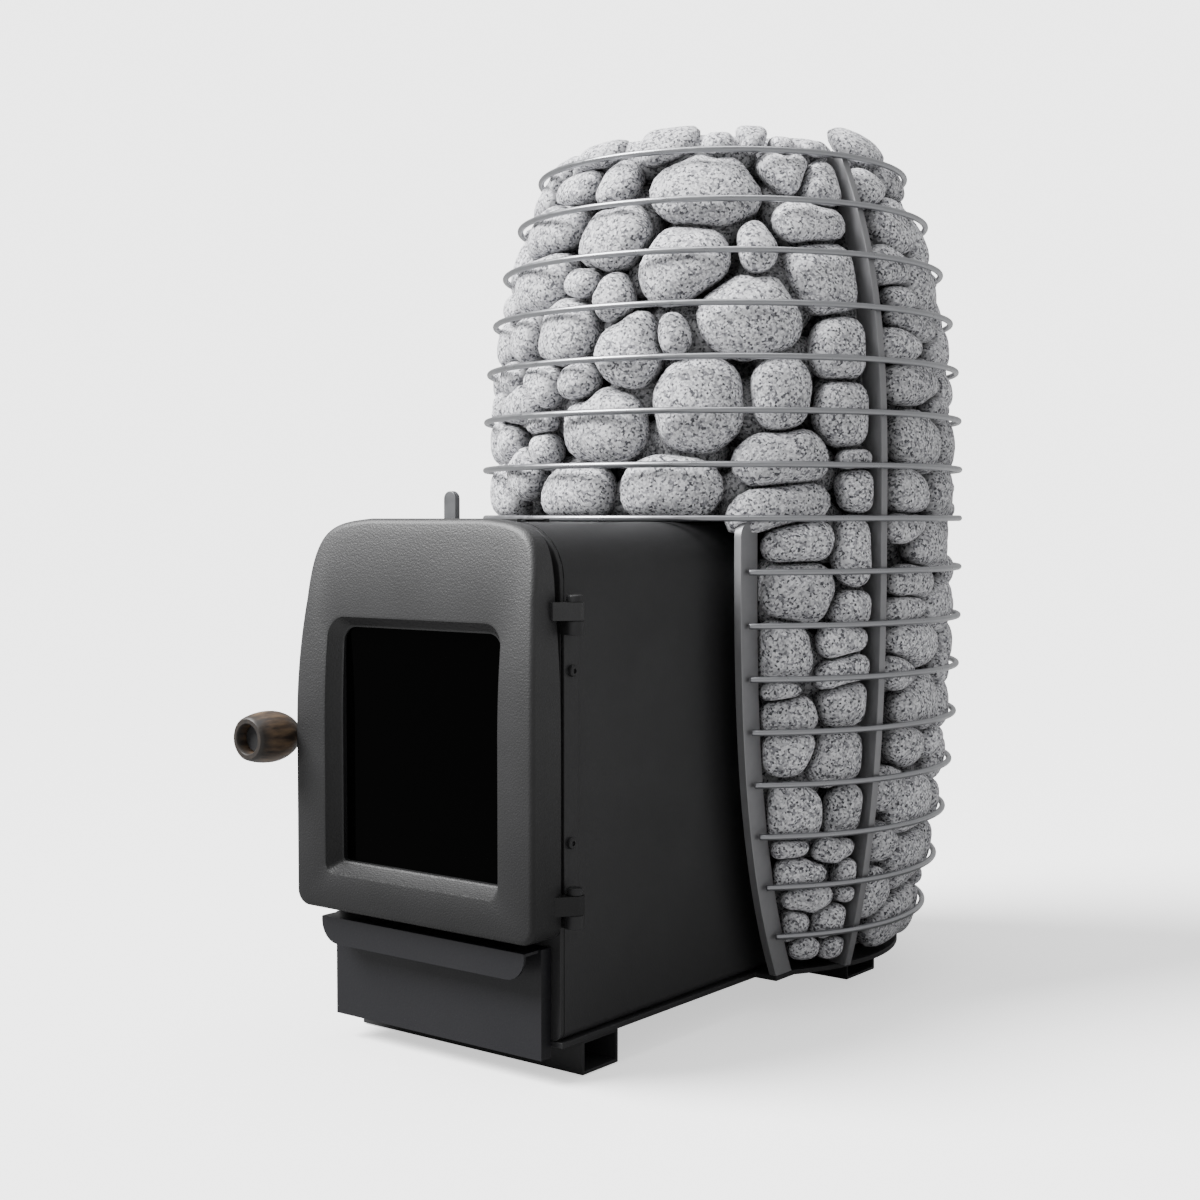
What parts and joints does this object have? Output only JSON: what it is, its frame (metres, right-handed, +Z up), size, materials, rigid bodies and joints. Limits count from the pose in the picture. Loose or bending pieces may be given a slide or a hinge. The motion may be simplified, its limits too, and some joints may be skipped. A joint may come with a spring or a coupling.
{
  "type": "sauna heater stove",
  "caption": "Wood-burning sauna stove: a barrel cage of steel rings full of granite stones round a firebox with a hinged cast-iron glass door, latch, ash drawer and air slide.",
  "frame": {"origin": "on the floor, under the middle of the overall box", "axes": "+Z up; the door faces -Y; +X is the side of the door's hinge, which is on the right when the stove is seen from its front"},
  "size_m": [0.5008, 0.7656, 0.864],
  "materials": {
    "ring_steel": "bright satin round bar",
    "rib_steel": "plain cut flat bar",
    "granite": "rounded, speckled, dull",
    "black_sheet": "matt black heat-resistant paint",
    "drawer_paint": "satin anthracite paint",
    "cast_iron": "fine as-cast grain, grey-black",
    "bare_steel": "bare dull steel",
    "dark_glass": "dark ceramic glass, polished",
    "rope": "braided sealing rope",
    "turned_wood": "turned, dark oiled"
  },
  "bodies": {
    "stove": {"cage_ring_01": "ring_steel", "cage_ring_02": "ring_steel", "cage_ring_03": "ring_steel", "cage_ring_04": "ring_steel", "cage_ring_05": "ring_steel", "cage_ring_06": "ring_steel", "cage_ring_07": "ring_steel", "cage_ring_08": "ring_steel", "cage_ring_09": "ring_steel", "cage_ring_10": "ring_steel", "cage_ring_11": "ring_steel", "cage_ring_12": "ring_steel", "cage_ring_13": "ring_steel", "cage_ring_14": "ring_steel", "cage_ring_15": "ring_steel", "cage_ring_16": "ring_steel", "cage_rib_right": "rib_steel", "cage_rib_rear_right": "rib_steel", "cage_rib_rear_left": "rib_steel", "cage_rib_left": "rib_steel", "front_bar_right": "rib_steel", "front_bar_left": "rib_steel", "base_plate": "black_sheet", "front_crossbar": "black_sheet", "rear_crossbar": "black_sheet", "firebox_shell": "black_sheet", "front_plate": "black_sheet", "back_plate": "black_sheet", "hearth_plate": "black_sheet", "fire_grate": "cast_iron", "baffle_plate": "black_sheet", "flue_pipe": "black_sheet", "air_slide_rail_front": "black_sheet", "air_slide_rail_rear": "black_sheet", "hinge_bracket": "black_sheet", "hinge_pin_upper": "black_sheet", "hinge_pin_lower": "black_sheet", "latch_catch": "bare_steel", "stone_course_01": "granite", "stone_course_02": "granite", "stone_course_03": "granite", "stone_course_04": "granite", "stone_course_05": "granite", "stone_course_06": "granite", "stone_course_07": "granite", "stone_course_08": "granite", "stone_course_09": "granite", "stone_course_10": "granite", "stone_course_11": "granite"},
    "door": {"door_casting": "cast_iron", "door_glass": "dark_glass", "glass_retainer": "bare_steel", "door_gasket": "rope", "latch_pivot": "bare_steel"},
    "latch": {"latch_lever": "cast_iron", "latch_knob": "turned_wood", "knob_bolt": "bare_steel"},
    "ash_drawer": {"ash_drawer_front": "drawer_paint", "ash_tray": "black_sheet"},
    "air_slide": {"air_slide": "bare_steel"}
  },
  "joints": [
    {"name": "door_swing", "type": "hinge", "parent": "stove", "child": "door", "pos_m": [0.145, -0.29835, 0.27], "axis": [0, 0, 1], "range_deg": [0, 110]},
    {"name": "latch_lift", "type": "hinge", "parent": "door", "child": "latch", "pos_m": [-0.1633, -0.31935, 0.277], "axis": [-1, 0, 0], "range_deg": [0, 30]},
    {"name": "drawer_slide", "type": "slide", "parent": "stove", "child": "ash_drawer", "axis": [0, -1, 0], "range_m": [0, 0.25]},
    {"name": "air_slide_travel", "type": "slide", "parent": "stove", "child": "air_slide", "axis": [1, 0, 0], "range_m": [-0.02, 0.02]}
  ]
}
